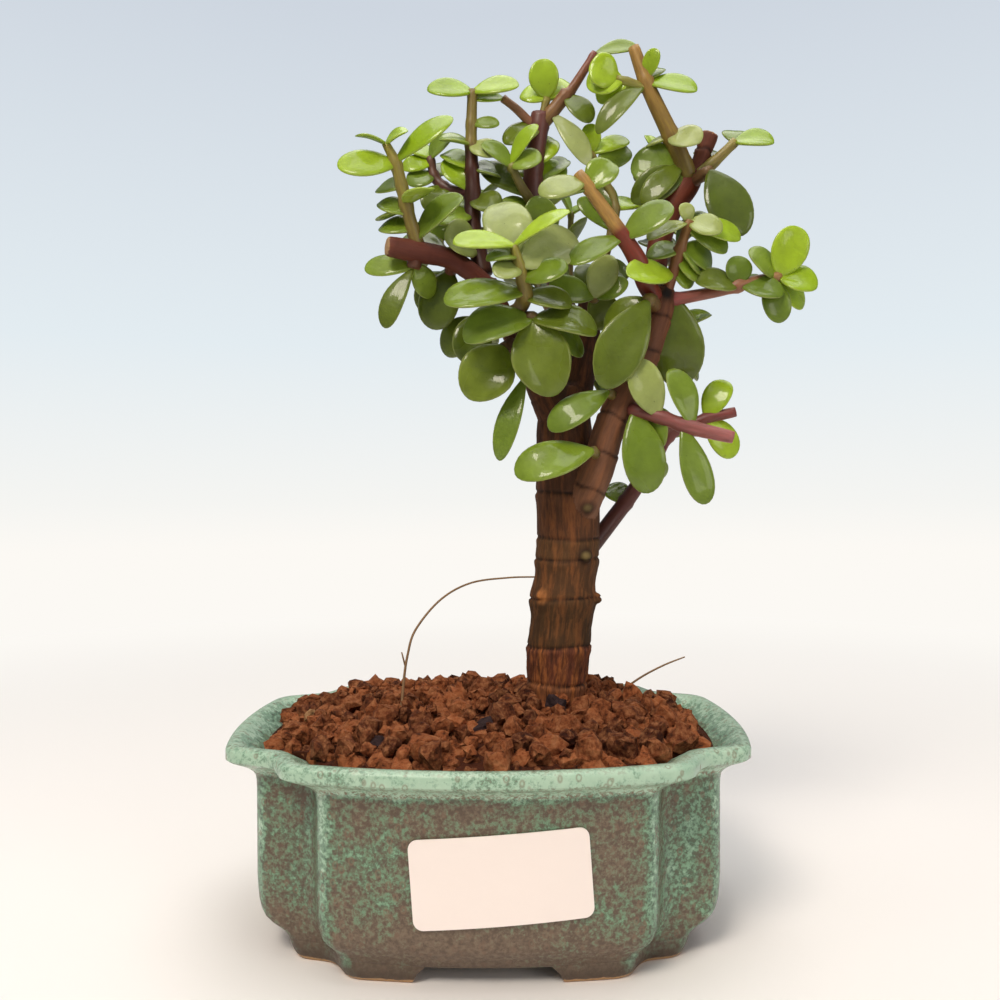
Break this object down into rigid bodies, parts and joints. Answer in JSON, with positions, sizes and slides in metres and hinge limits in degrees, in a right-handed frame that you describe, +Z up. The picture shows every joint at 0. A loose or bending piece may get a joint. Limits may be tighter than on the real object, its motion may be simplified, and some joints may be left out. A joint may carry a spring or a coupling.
{
  "type": "potted bonsai tree",
  "caption": "Dwarf jade bonsai with plump green leaves on a brown trunk, in red-brown clay granules in a footed celadon bowl.",
  "frame": {"origin": "under the middle of the whole object's box, at the undersides of the bowl's feet", "axes": "+Z up along the trunk, -Y towards the front of the bowl with the sticker, +X to the right seen from the front"},
  "size_m": [0.1502, 0.101, 0.2312],
  "materials": {
    "glaze": "satin",
    "soil": "matte",
    "bark": "matte",
    "leaf": "satin",
    "paper": "satin",
    "net": "matte"
  },
  "bodies": {
    "root": {"pot": "glaze", "drain_net_left": "net", "drain_net_right": "net", "trunk_and_limbs": "bark", "soil": "soil", "label": "paper", "shoot_left_tip": "leaf", "shoot_left_low": "leaf", "shoot_left_inner": "leaf", "shoot_left_mid": "leaf", "shoot_top_middle": "leaf", "shoot_front": "leaf", "shoot_left_under": "leaf", "shoot_left_under_back": "leaf", "spur_left": "leaf", "spur_fork_low": "leaf", "spur_fork_high": "leaf", "shoot_front_right": "leaf", "spur_fork_top": "leaf", "shoot_low_front": "leaf", "shoot_low_right": "leaf", "shoot_right_arm": "leaf", "shoot_inner_right": "leaf", "shoot_crown_right": "leaf", "spur_crown_right": "leaf", "shoot_top_right": "leaf", "shoot_centre": "leaf", "sprig_back_left": "leaf", "sprig_back_left_high": "leaf", "sprig_back_middle": "leaf", "sprig_back_middle_high": "leaf", "sprig_back_low": "leaf", "sprig_back_right": "leaf", "sprig_back_right_low": "leaf", "sprig_crown_back": "leaf"}
  },
  "joints": []
}
